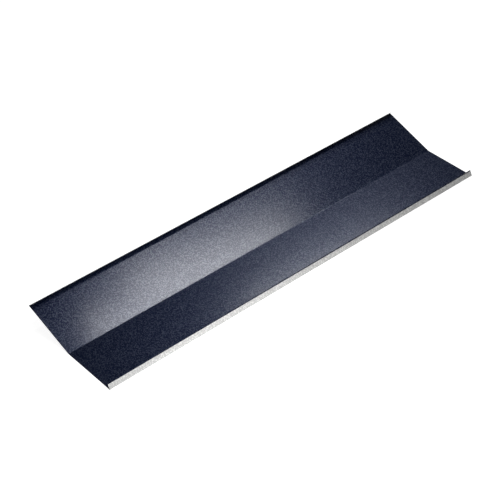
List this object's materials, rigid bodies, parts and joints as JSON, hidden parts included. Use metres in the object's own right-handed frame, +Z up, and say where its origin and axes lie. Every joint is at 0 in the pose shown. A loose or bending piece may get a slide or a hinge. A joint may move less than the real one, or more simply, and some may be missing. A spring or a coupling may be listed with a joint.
{
  "type": "valley flashing",
  "caption": "Length of coated steel sheet folded to a shallow V, with both long edges turned up into inward-leaning lips, laid in a roof valley to carry rainwater down under the roof covering.",
  "frame": {"origin": "on the floor, below the middle of the flashing's box", "axes": "+X along the valley, +Y from the flat front flange to the rising back flange, +Z up"},
  "size_m": [2, 0.507, 0.102],
  "materials": {
    "coated_steel": "semi-gloss navy paint with a fine grain on the upper side, light grey back coat on the underside, bare cut edges"
  },
  "bodies": {
    "root": {"valley_flashing": "coated_steel"}
  },
  "joints": []
}
